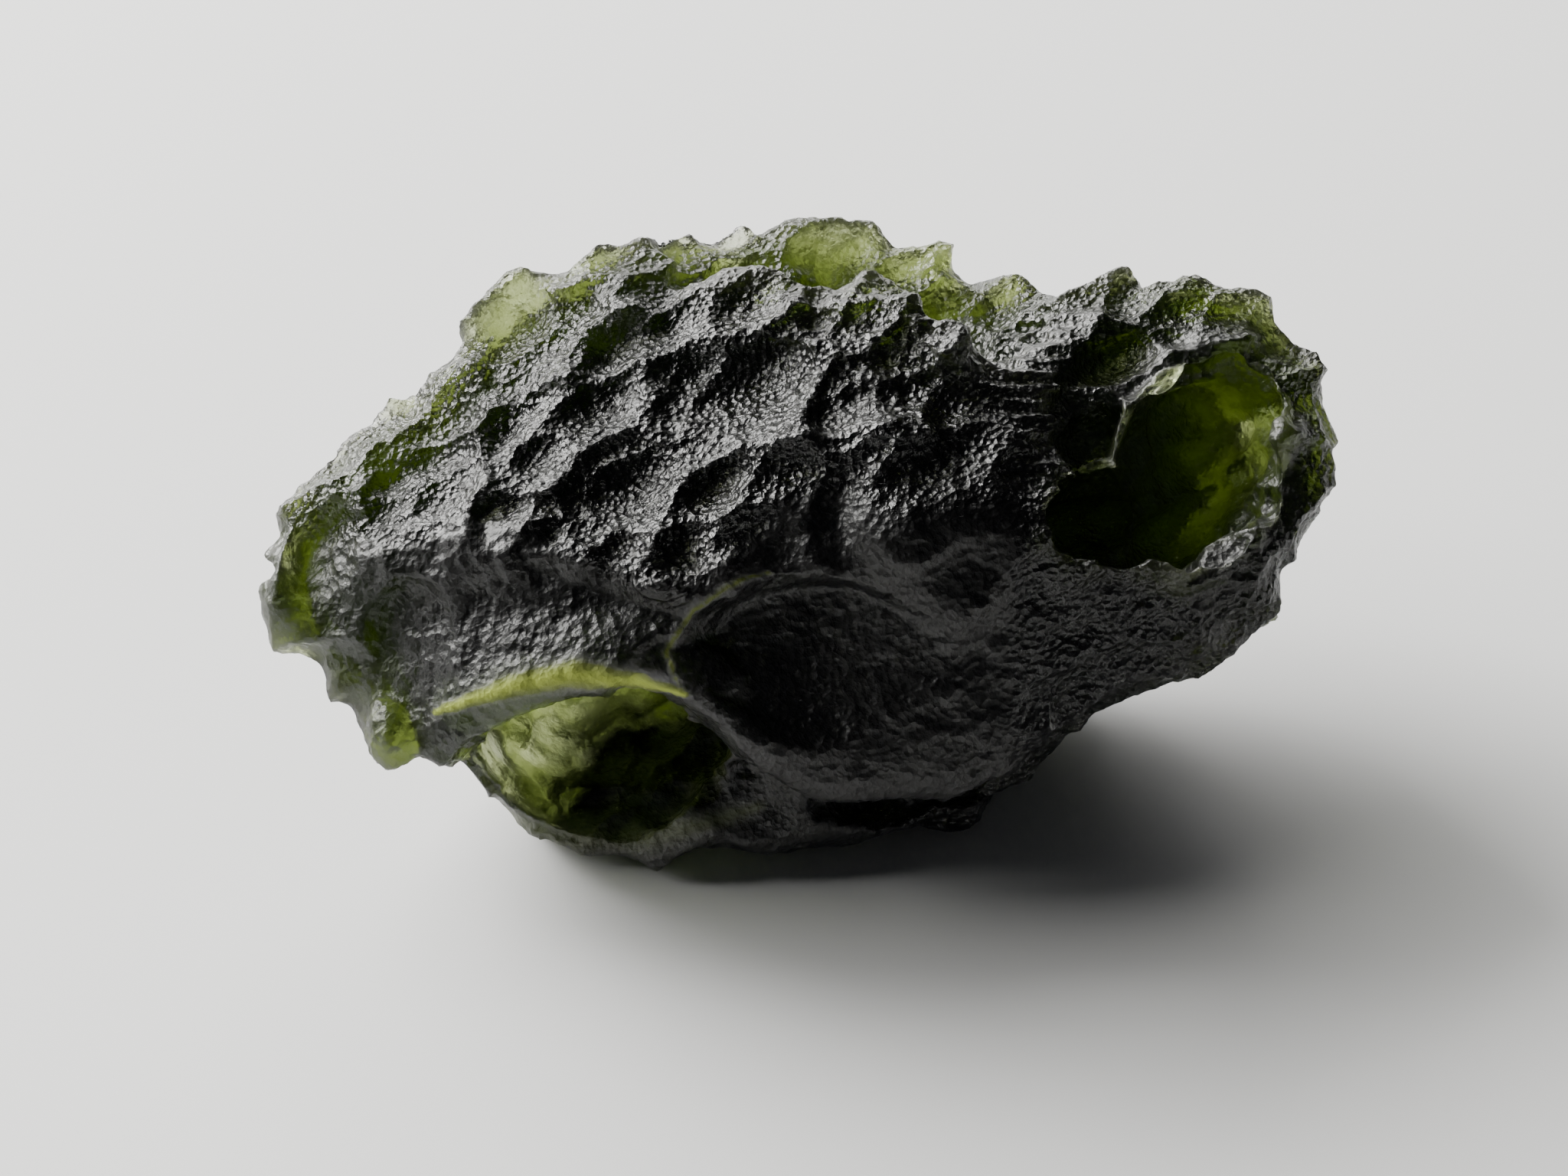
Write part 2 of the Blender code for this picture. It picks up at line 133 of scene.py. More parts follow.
def soft_normals(mesh: bpy.types.Mesh, rounds: int) -> np.ndarray:
    """The mesh's normals, softened over their neighbours and made one unit long again."""
    normals = softened(mesh, normals_of(mesh), rounds)
    return normals / np.linalg.norm(normals, axis=1, keepdims=True)


def surface_of(mesh: bpy.types.Mesh) -> BVHTree:
    """The mesh's surface, as it is now, for finding places on it."""
    return BVHTree.FromPolygons([v.co for v in mesh.vertices], [p.vertices for p in mesh.polygons])


def thickness(piece: bpy.types.Object, normals: np.ndarray, most: float) -> np.ndarray:
    """How thick the piece is under each of its points.

    Args:
        piece: the piece, in millimetres.
        normals: which way is out at each point.
        most: the greatest thickness that is told apart.

    Returns:
        The thickness at each point.
    """
    surface = surface_of(piece.data)
    found = np.empty(len(normals))
    for i, (point, normal) in enumerate(zip(points_of(piece.data), normals)):
        inwards = Vector(-normal)
        found[i] = surface.ray_cast(Vector(point) + inwards * UNDER_SKIN, inwards, most)[3] or most
    return found


def smooth_curve(values: np.ndarray, places: np.ndarray, wanted: np.ndarray) -> np.ndarray:
    """Reads values off a smooth curve.

    Args:
        values: the values that the curve passes through, one row for each place.
        places: where along the curve those values are, rising.
        wanted: where along the curve values are wanted.

    Returns:
        One row of values for each place wanted.
    """
    values = np.asarray(values, float)
    places = np.asarray(places, float)
    slopes = np.gradient(values, places, axis=0)
    i = np.clip(np.searchsorted(places, wanted, side="right") - 1, 0, len(places) - 2)
    span = (places[i + 1] - places[i])[:, None]
    t = ((wanted - places[i]) / span[:, 0])[:, None]
    return (
        (2 * t**3 - 3 * t**2 + 1) * values[i]
        + (t**3 - 2 * t**2 + t) * span * slopes[i]
        + (3 * t**2 - 2 * t**3) * values[i + 1]
        + (t**3 - t**2) * span * slopes[i + 1]
    )


def down_and_across(away: np.ndarray, slope: float, reaches: Pair) -> tuple[np.ndarray, np.ndarray]:
    """Turns distances from the middle of a cup to the flow of the glass.

    Args:
        away: the distances, one to a row.
        slope: slope of the flow, in radians.
        reaches: the cup's reach up the flow and down it, in radii.

    Returns:
        The distance down the flow, in reaches, and the one across it.
    """
    down = away[:, 0] * math.cos(slope) - away[:, 1] * math.sin(slope)
    across = away[:, 0] * math.sin(slope) + away[:, 1] * math.cos(slope)
    return down / np.where(down < 0, *reaches), across


class Cut(Enum):
    """What an ellipsoid does to the lump."""

    HOLLOW = "DIFFERENCE"
    BOSS = "UNION"


@dataclass(frozen=True)
class Ellipsoid:
    """A hollow cut out of the lump, or a boss left standing on it, in the lump's own frame."""

    name: str
    middle: Triple
    radii: Triple
    pitch: float = 0.0  # about U, in degrees
    turn: float = 0.0  # in the broad face, in degrees

    def work_on(self, piece: bpy.types.Object, cut: Cut) -> None:
        """Cuts the ellipsoid out of the piece or joins it on.

        Args:
            piece: the piece that is worked on.
            cut: whether the ellipsoid is a hollow or a boss.
        """
        deselect_all()
        bpy.ops.mesh.primitive_ico_sphere_add(
            subdivisions=4,
            radius=1,
            location=self.middle,
            rotation=(math.radians(self.pitch), 0, math.radians(self.turn)),
            scale=self.radii,
        )
        tool = bpy.context.object
        bpy.ops.object.transform_apply(location=True, rotation=True, scale=True)
        boolean = piece.modifiers.new(self.name, "BOOLEAN")
        boolean.operation = cut.value
        boolean.solver = "EXACT"
        boolean.object = tool
        apply_modifier(piece, boolean)
        bpy.data.objects.remove(tool)


@dataclass(frozen=True)
class Sections:
    """The cross-sections of the lump and the lines that join them, in the lump's own frame."""

    stations: tuple[float, ...] = (
        -17.3, -15.0, -12.6, -10.7, -9.0, -6.0, -3.0, 0.0, 3.0, 6.0, 9.0, 12.0, 15.0, 17.0,
    )
    along: int = 90
    around: int = 96
    tip: float = 0.75  # length of the blunt point at each end

    # Lines along the lump, each with its (V, W) at every station
    LINES = {
        "top edge": (
            (1.9, -1.0), (4.3, -1.5), (5.9, -2.0), (8.5, -2.4), (9.4, -2.6), (10.4, -3.0), (11.0, -5.2),
            (11.2, -6.3), (10.7, -6.7), (9.6, -6.3), (9.0, -4.9), (9.1, -3.6), (8.2, -2.8), (6.1, -1.8),
        ),
        "gully": (
            (1.3, -0.2), (3.4, -0.6), (4.8, -0.9), (7.0, -1.2), (8.0, -1.3), (9.2, -1.4), (8.6, -2.8),
            (6.9, -3.4), (6.1, -3.6), (6.3, -3.2), (7.6, -1.9), (8.0, -1.7), (7.1, -1.6), (5.4, -1.2),
        ),
        "crest": (
            (0.9, 0.4), (2.7, 0.2), (3.8, -0.1), (5.6, -0.3), (6.5, -0.4), (7.8, -0.2), (9.0, -0.6),
            (8.9, 0.2), (8.3, 0.8), (6.0, 2.2), (5.6, -0.6), (6.4, -0.6), (5.8, -0.4), (4.8, -0.5),
        ),
        "top face": (
            (0.5, 0.8), (1.8, 1.0), (2.5, 1.1), (3.4, 1.3), (3.9, 1.5), (4.4, 1.9), (5.0, 2.3),
            (5.4, 2.7), (5.2, 3.3), (4.0, 3.7), (4.2, 1.4), (4.0, 1.4), (3.6, 1.0), (3.4, 0.2),
        ),
        "break": (
            (0.1, 1.0), (0.4, 1.8), (0.2, 2.4), (1.2, 3.0), (0.6, 3.6), (-0.8, 4.4), (-0.6, 5.2),
            (1.9, 4.8), (1.1, 5.8), (1.4, 5.2), (0.4, 4.1), (-0.2, 3.5), (0.8, 2.1), (2.0, 0.5),
        ),
        "front face": (
            (-1.5, 1.2), (-2.4, 1.4), (-2.6, 2.0), (-2.4, 2.8), (-2.2, 3.3), (-2.2, 3.9), (-2.8, 4.2),
            (-3.4, 3.9), (-3.4, 4.0), (-3.4, 3.8), (-2.6, 3.4), (-2.2, 3.0), (-1.0, 1.9), (1.0, 0.5),
        ),
        "ledge": (
            (-3.7, 0.0), (-6.0, 0.6), (-7.1, 1.4), (-5.6, 2.9), (-4.9, 3.7), (-4.5, 4.3), (-5.6, 4.4),
            (-7.7, 3.2), (-7.8, 3.0), (-7.7, 2.4), (-5.8, 2.0), (-4.5, 1.4), (-2.8, 0.6), (0.2, -0.3),
        ),
        "recess": (
            (-3.8, -0.6), (-6.0, -0.3), (-7.4, 0.4), (-7.0, 0.6), (-6.4, 0.4), (-5.9, 0.0), (-6.8, 0.6),
            (-8.1, 0.8), (-8.1, 0.4), (-8.1, -0.4), (-6.2, -0.4), (-4.8, -0.2), (-2.9, -0.6), (0.1, -0.9),
        ),
        "base front": (
            (-3.0, -1.2), (-4.9, -1.2), (-6.2, -1.0), (-8.4, -1.5), (-10.1, -1.9),
            (-10.9, -1.5), (-10.5, -1.4), (-10.0, -1.9), (-9.7, -2.6), (-9.4, -3.0),
            (-6.1, -2.4), (-4.4, -2.0), (-2.6, -1.8), (0.5, -1.5),
        ),
        "base back": (
            (-2.2, -1.9), (-3.5, -2.9), (-4.4, -4.2), (-5.4, -6.2), (-5.6, -7.6),
            (-4.9, -8.5), (-4.6, -8.9), (-4.5, -9.0), (-4.5, -9.0), (-4.7, -9.0),
            (-4.2, -8.4), (-3.2, -7.3), (-1.4, -5.2), (1.2, -2.6),
        ),
        "back": (
            (-0.8, -2.3), (-0.5, -4.0), (-0.4, -5.4), (0.6, -7.0), (1.5, -7.8), (2.8, -8.2), (3.4, -8.4),
            (3.6, -8.6), (3.5, -8.8), (3.2, -9.1), (2.6, -9.2), (2.0, -8.8), (2.2, -7.0), (2.8, -3.4),
        ),
        "back rim": (
            (0.6, -2.0), (2.2, -3.2), (3.4, -4.0), (5.2, -4.8), (6.4, -5.1), (7.8, -6.0), (8.4, -7.6),
            (8.4, -8.8), (8.0, -9.0), (7.4, -8.8), (6.8, -8.3), (6.4, -7.4), (5.9, -5.6), (4.6, -3.0),
        ),
    }

    def line(self, name: str, places: np.ndarray) -> np.ndarray:
        """One line's (V, W) at these places along the lump."""
        held = np.clip(places, self.stations[0], self.stations[-1])
        return smooth_curve(self.LINES[name], self.stations, held)

    def loops(self) -> np.ndarray:
        """The cross-sections.

        Returns:
            An array (along, around, 3) of U, V, W.
        """
        places = np.linspace(self.stations[0], self.stations[-1], self.along)
        corners = np.stack([self.line(name, places) for name in self.LINES], axis=1)
        count = corners.shape[1]
        wanted = np.linspace(0, count, self.around, endpoint=False)
        loops = np.empty((self.along, self.around, 3))
        for k, place in enumerate(places):
            looped = np.vstack([corners[k][-2:], corners[k], corners[k][:2]])
            loops[k, :, 0] = place
            loops[k, :, 1:] = smooth_curve(looped, np.arange(-2, count + 2), wanted)
        return loops

    def build(self) -> bpy.types.Object:
        """Shapes a sphere, ring by ring, to the cross-sections.

        Returns:
            The lump before anything is cut from it.
        """
        deselect_all()
        bpy.ops.mesh.primitive_uv_sphere_add(segments=self.around, ring_count=self.along + 1, radius=1)
        piece = bpy.context.object
        points = points_of(piece.data)
        rings = np.rint(np.arccos(np.clip(points[:, 2], -1, 1)) / math.pi * (self.along + 1)).astype(int)
        turns = np.arctan2(points[:, 1], points[:, 0]) / math.tau
        steps = np.rint(turns * self.around).astype(int) % self.around
        loops = self.loops()
        shaped = loops[np.clip(rings - 1, 0, self.along - 1), steps]
        shaped[rings == 0] = loops[0].mean(axis=0) - (self.tip, 0, 0)
        shaped[rings == self.along + 1] = loops[-1].mean(axis=0) + (self.tip, 0, 0)
        put_points(piece, shaped)
        bpy.ops.object.mode_set(mode="EDIT")
        bpy.ops.mesh.select_all(action="SELECT")
        bpy.ops.mesh.normals_make_consistent(inside=False)
        bpy.ops.object.mode_set(mode="OBJECT")
        return piece


@dataclass(frozen=True)
class SmoothFront:
    """Where the lump is the smooth front face, below the break, and not the scalloped skin."""

    sections: Sections
    right_end: float = 6.5
    top: float = 0.4  # distance of its top edge below the break
    back: float = -0.5  # least W on it
    facing: float = 0.3  # least W of its normals

    def covers(self, places: np.ndarray, normals: np.ndarray) -> np.ndarray:
        """Tells which places are on the smooth face.

        Args:
            places: places on the skin, one to a row.
            normals: the skin's normals there.

        Returns:
            True for each place that is.
        """
        breaks = self.sections.line("break", places[:, 0])[:, 0]
        in_front = (normals[:, 2] > self.facing) & (places[:, 2] > self.back)
        return in_front & (places[:, 1] < breaks - self.top) & (places[:, 0] < self.right_end)


@dataclass(frozen=True)
class Etching:
    """The basins and the scallops that are etched into the lump, in millimetres.

    Each scallop is a cup, steep uphill and gentle downhill. Cups that meet leave a crest between them.
    """

    front: SmoothFront
    seed: int = 11
    tries: int = 9000
    half_span: Triple = (19, 12, 10)
    varied: Pair = (0.7, 1.25)  # least and most of a seeded size, as a share of the usual
    spacing: float = 0.62  # least distance between two scallops, as a share of their radii together
    seeded_basin: Pair = (3.4, 0.9)  # reach and depth
    wall: float = 2.2  # how steep a basin's walls are; its floor rises towards its lower right
    underside: float = 0.7  # no basin is sunk where the skin faces down by this much
    seeded_scallop: Pair = (1.65, 0.7)  # radius and depth
    calm_scallop: Pair = (1.8, 0.06)  # and on the smooth front face
    flow: Pair = (60, 1)  # slope of the flow at U = 0, and its change for a millimetre of U
    reaches: Pair = (0.36, 1.45)  # of a scallop up the flow and down it, in radii
    width: float = 1.25  # and across it
    bowl: float = 0.75  # how round a scallop is in section: 1 for a bowl, a half for a cone
    crest: float = 1.0  # height that a crest may stand, as a share of its scallop's depth
    lift: float = 0.35  # height that the etched skin stands off the one it was drawn on
    sound: float = 0.2  # most of a wall's thickness that the etching takes from one side
    thick: float = 6.0  # walls thicker than this are etched freely

    # Wide shallow cups seen from the front: U, V of the middle, reach along U and V, and depth
    BASINS = (
        (0.3, -3.8, 4.7, 2.9, 1.4), (7.4, -3.8, 3.0, 2.6, 0.3), (12.6, -2.4, 3.0, 2.0, 0.6),
        (-8.2, -2.8, 4.6, 2.3, 0.25), (-15.2, -0.9, 1.9, 2.7, 1.2), (-12.6, -3.6, 1.9, 2.6, 0.7),
        (-9.3, 0.6, 2.2, 1.2, 0.9), (4.6, -6.6, 4.0, 1.6, 0.12), (-1.5, -8.6, 2.4, 1.4, 0.7),
        (15.8, 5.4, 1.4, 2.2, 0.6), (15.6, 1.0, 1.5, 2.0, 0.6),
    )

    # Scallops seen from the front: U, V of the middle, radius and depth
    SCALLOPS = (
        (-10.1, 7.3, 1.7, 0.68), (-7.4, 7.9, 1.4, 0.47), (-4.2, 8.6, 1.5, 0.62), (-1.9, 7.8, 1.6, 0.54),
        (-11.7, 3.9, 2.3, 0.82), (-14.0, 4.2, 1.5, 0.47), (-16.1, 2.4, 1.6, 0.47), (-13.8, 2.4, 1.4, 0.47),
        (-11.5, 1.7, 1.7, 0.54), (-13.8, 0.9, 1.3, 0.41), (-8.9, 2.4, 1.2, 0.41), (-7.9, 1.3, 1.0, 0.34),
        (-8.2, 0.1, 1.4, 0.54), (-5.5, 1.9, 1.9, 0.62), (-4.2, -0.5, 1.6, 0.47), (-6.7, 4.4, 1.7, 0.62),
        (-9.9, 4.8, 1.5, 0.47), (-8.7, 6.1, 1.3, 0.41), (-6.6, 6.5, 1.5, 0.54), (-4.6, 6.9, 1.4, 0.47),
        (-1.9, 5.2, 2.6, 0.88), (-5.0, 4.1, 1.3, 0.41), (-3.2, 3.3, 1.4, 0.41), (1.5, 6.9, 1.3, 0.41),
        (3.2, 6.4, 1.4, 0.54), (0.9, 4.1, 1.5, 0.54), (3.4, 4.9, 1.7, 0.68), (5.5, 4.6, 1.2, 0.41),
        (3.9, 2.4, 2.4, 0.82), (0.2, 2.4, 2.2, 0.62), (7.7, 7.2, 1.4, 0.41), (7.7, 5.6, 1.1, 0.30),
        (7.7, 4.2, 1.1, 0.30), (7.6, 3.0, 1.1, 0.30), (12.1, 7.4, 1.3, 0.54), (13.8, 7.4, 1.3, 0.47),
        (4.9, -0.3, 1.4, 0.40), (7.0, -1.0, 1.3, 0.36), (8.8, -2.7, 1.4, 0.34), (11.2, -2.6, 1.4, 0.36),
        (13.1, -1.6, 1.3, 0.36),
    )

    def _front_place(self, surface: BVHTree, u: float, v: float) -> Vector:
        """The place on the surface that is seen at (U, V) from the front, or nearest to it off the edge."""
        seen = surface.ray_cast(Vector((u, v, FAR)), Vector((0, 0, -1)))[0]
        return seen or surface.find_nearest(Vector((u, v, 0)))[0]

    def _seeded_places(self, surface: BVHTree) -> tuple[np.ndarray, np.ndarray, np.ndarray]:
        """Finds places all over a surface, in a seeded order.

        Args:
            surface: the surface.

        Returns:
            The places, the normals there, and a share of the usual size for each.
        """
        chooser = random.Random(self.seed)
        places, normals, shares = [], [], []
        for _ in range(self.tries):
            near = Vector([chooser.uniform(-reach, reach) for reach in self.half_span])
            place, normal, _, _ = surface.find_nearest(near)
            places.append(place)
            normals.append(normal)
            shares.append(chooser.uniform(*self.varied))
        return np.array(places), np.array(normals), np.array(shares)

    def _fill_in(self, taken: list[tuple[float, ...]], places: np.ndarray, radii: np.ndarray) -> list[int]:
        """Chooses places that are clear of each other.

        Args:
            taken: U, V, W and radius of what is there already.
            places: the places that may be chosen, in order.
            radii: the radius that each would have.

        Returns:
            The indices of those chosen.
        """
        around = np.array(taken)
        chosen = []
        for i, (place, radius) in enumerate(zip(places, radii)):
            gaps = np.linalg.norm(around[:, :3] - place, axis=1)
            if (gaps > self.spacing * (radius + around[:, 3])).all():
                chosen.append(i)
                around = np.vstack([around, (*place, radius)])
        return chosen

    def basins_on(self, piece: bpy.types.Object) -> list[tuple[float, ...]]:
        """Lays out the basins.

        Args:
            piece: the piece that they are laid out on.

        Returns:
            U, V, W, reach along U, reach across it, and depth of each.
        """
        surface = surface_of(piece.data)
        basins = [(*self._front_place(surface, u, v), *rest) for u, v, *rest in self.BASINS]
        taken = [(*basin[:3], max(basin[3:5])) for basin in basins]
        places, facings, shares = self._seeded_places(surface)
        radii = self.seeded_basin[0] * shares
        sole = np.array((0, -math.cos(LEAN), -math.sin(LEAN)))
        for i in self._fill_in(taken, places, radii):
            if facings[i] @ sole < self.underside:
                basins.append((*places[i], radii[i], radii[i], self.seeded_basin[1]))
        return basins

    def scallops_on(self, piece: bpy.types.Object) -> list[tuple[float, ...]]:
        """Lays out the scallops.

        Args:
            piece: the piece that they are laid out on.

        Returns:
            U, V, W, radius and depth of each.
        """
        surface = surface_of(piece.data)
        scallops = [(*self._front_place(surface, u, v), *rest) for u, v, *rest in self.SCALLOPS]
        places, facings, shares = self._seeded_places(surface)
        calm = self.front.covers(places, facings)
        radii = shares * np.where(calm, self.calm_scallop[0], self.seeded_scallop[0])
        depths = np.where(calm, self.calm_scallop[1], self.seeded_scallop[1] * shares)
        for i in self._fill_in([scallop[:4] for scallop in scallops], places, radii):
            scallops.append((*places[i], radii[i], depths[i]))
        return scallops

    def _move_in(self, piece: bpy.types.Object, shift: np.ndarray, rounds: int) -> None:
        """Moves the piece's points in, held to a share of how thick the lump is there.

        Args:
            piece: the piece that is etched.
            shift: how far each point would go.
            rounds: rounds of softening of the normals.
        """
        normals = soft_normals(piece.data, rounds)
        deepest = self.sound * thickness(piece, normals, self.thick)
        put_points(piece, points_of(piece.data) - normals * np.minimum(shift, deepest)[:, None])

    def sink(self, piece: bpy.types.Object, basins: list[tuple[float, ...]], rounds: int) -> None:
        """Sinks the basins into the piece.

        Args:
            piece: the piece that is etched.
            basins: what basins_on gives.
            rounds: rounds of softening of the normals.
        """
        points = points_of(piece.data)
        sunk = np.zeros(len(points))
        for u, v, w, along, across, depth in basins:
            away = (points - (u, v, w)) / (along, across, across)
            down = (away[:, 0] - away[:, 1]) / math.sqrt(2)
            wall = np.clip(self.wall * (1 - (away**2).sum(axis=1)), 0, 1)
            sunk = np.maximum(sunk, depth * wall * (1 - down) / 2)
        self._move_in(piece, sunk, rounds)

    def etch(self, piece: bpy.types.Object, scallops: list[tuple[float, ...]], rounds: int) -> None:
        """Etches the scallops into the piece.

        Args:
            piece: the piece that is etched.
            scallops: what scallops_on gives.
            rounds: rounds of softening of the normals.
        """
        points = points_of(piece.data)
        etched = np.full(len(points), -np.inf)
        for u, v, w, radius, depth in scallops:
            away = points - (u, v, w)
            slope = math.radians(self.flow[0] + self.flow[1] * u)
            down, across = down_and_across(away, slope, self.reaches)
            apart = (down**2 + (across / self.width) ** 2 + away[:, 2] ** 2) / radius**2
            share = apart**self.bowl
            etched = np.maximum(etched, depth * np.maximum(1 - share, -self.crest))
        self._move_in(piece, etched - self.lift, rounds)


@dataclass(frozen=True)
class FineEtching:
    """What the etching left on a smaller scale: dimples, grain, waves, rings, stripes and thin lips."""

    front: SmoothFront
    seed: int = 23
    thick: float = 1.2  # walls thinner than this are etched less
    softening: int = 3  # rounds of softening of the normals
    front_softening: int = 12  # and of those that tell where the smooth front face is
    front_edge: int = 10  # rounds of softening of its edge

    varied: Pair = (0.7, 1.35)  # least and most of a dimple's size, as a share of the usual
    flake: Pair = (0.95, 0.08)  # radius and depth of the larger, off the smooth front face
    dimple: Pair = (0.36, 0.06)  # and of the smaller, all over
    spacing: float = 0.95  # least distance between two dimples, in radii
    flow: float = 60.0  # slope of the flow, in degrees
    swerve: float = 35.0  # most that a dimple swerves from it
    reaches: Pair = (0.55, 1.4)  # of a dimple up the flow and down it, in radii

    grain: float = 0.06  # height of the grain
    grain_size: float = 0.42
    grain_detail: tuple[float, float, int] = (0.9, 2.0, 3)  # fractal increment, lacunarity and octaves
    block: Triple = (2.4, 6.4, 2.6)  # the rough block by the crest: U, V and reach
    block_back: float = -2.0  # least W on it
    block_edge: float = 1.3  # where its grain fades out, in reaches
    block_grain: float = 0.11

    waves: float = 0.05  # height of the soft waves on the smooth front face
    wave_stretch: Triple = (0.45, 1.3, 1.0)  # waves to a millimetre along U, V and W

    rings: tuple[float, float, float, float] = (-4.6, -1.2, 1.7, 0.33)  # U, V, reach and spacing
    ring_squash: float = 1.2  # how much lower than wide a ring is
    ring_height: float = 0.08

    stripes: tuple[float, float, float, float] = (7.4, 4.8, 1.0, 2.8)  # the band's U, V and reaches
    stripes_back: float = -4.0  # least W on the band, which lies by the deep pit
    stripes_edge: float = 1.5  # where the band fades out, in reaches
    stripes_facing: float = -0.2  # least W of its normals
    stripe_spacing: float = 0.5
    stripe_height: float = 0.09

    lip_height: float = 0.10
    lip_back: float = -3.0  # least W on a lip

    # Thin lips, raised a little, frosted and painted with a pale yellow-green glow as if lit through, seen
    # from the front: U, V and reach at places along each
    LEDGE = (
        (-12.0, -5.6, 0.08), (-9.4, -4.7, 0.28), (-7.4, -4.3, 0.36), (-5.6, -4.55, 0.25),
        (-3.9, -4.95, 0.08),
    )
    CUP = (
        (-4.1, -4.6, 0.04), (-4.5, -3.6, 0.08), (-3.6, -2.3, 0.09), (-2.1, -1.3, 0.07), (-1.2, -1.1, 0.04),
    )
    FOOT = (
        (-10.2, -9.2, 0.3), (-8.2, -10.0, 0.7), (-5.6, -9.9, 0.7), (-3.6, -9.4, 0.4), (-1.6, -8.8, 0.2),
    )
    LIPS = ((0.9, LEDGE), (0.35, CUP), (0.15, FOOT))  # with how strongly each is frosted and painted with glow

    # Hollows with satin walls: the middle and the reaches of each
    SATIN_HOLLOWS = (
        ((-6.6, -6.0, -1.3), (4.6, 3.6, 6.2)),
        ((12.7, 2.5, 1.1), (3.0, 4.2, 4.6)),
    )

    def work_on(self, piece: bpy.types.Object) -> dict[str, np.ndarray]:
        """Etches the piece.

        Args:
            piece: the etched skin, in the lump's own frame.

        Returns:
            For each point, "satin" is 1 on the smooth front face and in the hollows, and 0 on the scalloped
            skin, and the other entry is how strongly it is frosted and painted with a pale yellow-green
            glow.
        """
        points = points_of(piece.data)
        normals = soft_normals(piece.data, self.softening)
        covers = self.front.covers(points, soft_normals(piece.data, self.front_softening))
        satin = softened(piece.data, covers.astype(float)[:, None], self.front_edge)[:, 0]
        shift = self._dimples(points, *self.flake) * (1 - satin)
        shift += self._dimples(points, *self.dimple)
        shift += self._grain(points)
        shift += self._waves(points) * satin
        shift += self._rings(points, normals) + self._stripes(points, normals)
        # The lips are raised a little, and the same mask paints them with a pale yellow-green glow in the
        # material
        lips = self._lips(points, normals)
        shift -= self.lip_height * lips
        shift *= np.clip(thickness(piece, normals, self.thick) / self.thick, 0, 1)
        put_points(piece, points - normals * shift[:, None])
        return {"satin": np.maximum(satin, self._satin_walls(points)), "frost_and_painted_glow": lips}

    def _lips(self, points: np.ndarray, normals: np.ndarray) -> np.ndarray:
        """Finds the thin lips.

        Args:
            points: the skin's points.
            normals: the normals there.

        Returns:
            How strongly each point is frosted and painted with glow, from 0 off the lips to 1 at most on a
            crest.
        """
        seen = (normals[:, 2] > 0) & (points[:, 2] > self.lip_back)
        frost_and_painted_glow = np.zeros(len(points))
        for share, crest in self.LIPS:
            places = np.array(crest)
            for start, end in zip(places, places[1:]):
                run = end[:2] - start[:2]
                along = np.clip((points[:, :2] - start[:2]) @ run / (run @ run), 0, 1)
                apart = np.linalg.norm(points[:, :2] - start[:2] - along[:, None] * run, axis=1)
                reach = start[2] + (end[2] - start[2]) * along
                frost_and_painted_glow = np.maximum(frost_and_painted_glow, share * np.exp(-((apart / reach) ** 2)))
        return frost_and_painted_glow * seen

    def _satin_walls(self, points: np.ndarray) -> np.ndarray:
        """Finds the walls of the satin hollows.

        Args:
            points: the skin's points.

        Returns:
            How satin each point is: 1 on the walls, and 0 a quarter of a reach off them.
        """
        satin = np.zeros(len(points))
        for middle, reaches in self.SATIN_HOLLOWS:
            apart = np.linalg.norm((points - middle) / np.array(reaches), axis=1)
            satin = np.maximum(satin, np.clip(5 - 4 * apart, 0, 1))
        return satin

    def _dimples(self, points: np.ndarray, usual: float, deepest: float) -> np.ndarray:
        """Dimples side by side, each steep uphill and gentle downhill.

        Args:
            points: the skin's points.
            usual: the usual radius of a dimple.
            deepest: the usual depth of a dimple.

        Returns:
            The depth of the dimples at each point.
        """
        tree = kdtree.KDTree(len(points))
        for i, point in enumerate(points):
            tree.insert(point, i)
        tree.balance()
        chooser = random.Random(self.seed)
        order = list(range(len(points)))
        chooser.shuffle(order)
        reach = 1.5  # in radii, past which a dimple leaves the skin as it is
        free = np.ones(len(points), bool)
        depth = np.full(len(points), -deepest / 2)
        for i in order:
            if free[i]:
                share = chooser.uniform(*self.varied)
                radius = usual * share
                near = np.array([index for _, index, _ in tree.find_range(points[i], reach * radius)])
                away = points[near] - points[i]
                free[near[(away**2).sum(axis=1) < (self.spacing * radius) ** 2]] = False
                slope = math.radians(self.flow + chooser.uniform(-self.swerve, self.swerve))
                down, across = down_and_across(away, slope, self.reaches)
                apart = (down**2 + across**2 + away[:, 2] ** 2) / radius**2
                depth[near] = np.maximum(depth[near], deepest * share * (1 - apart))
        return depth

    def _grain(self, points: np.ndarray) -> np.ndarray:
        """The grain, higher on the rough block.

        Args:
            points: the skin's points.

        Returns:
            The depth of the grain at each point, less than 0 where it stands up.
        """
        u, v, reach = self.block
        apart = np.hypot(points[:, 0] - u, points[:, 1] - v) / reach
        on_block = np.clip(self.block_edge - apart, 0, 1) * (points[:, 2] > self.block_back)
        height = self.grain + self.block_grain * on_block
        ups = [noise.fractal(Vector(point) / self.grain_size, *self.grain_detail) for point in points]
        return height * np.array(ups)

    def _waves(self, points: np.ndarray) -> np.ndarray:
        """Depth of the waves at each point, drawn out along the flow."""
        return self.waves * np.array([noise.noise(Vector(place)) for place in points * self.wave_stretch])

    def _rings(self, points: np.ndarray, normals: np.ndarray) -> np.ndarray:
        """The fine rings round one spot under the break.

        Args:
            points: the skin's points.
            normals: the normals there.

        Returns:
            The depth of the rings at each point.
        """
        u, v, reach, spacing = self.rings
        apart = np.hypot(points[:, 0] - u, (points[:, 1] - v) * self.ring_squash)
        fade = np.clip(1 - apart / reach, 0, 1) ** 0.5 * (normals[:, 2] > 0)
        return self.ring_height * np.sin(math.tau * apart / spacing) * fade

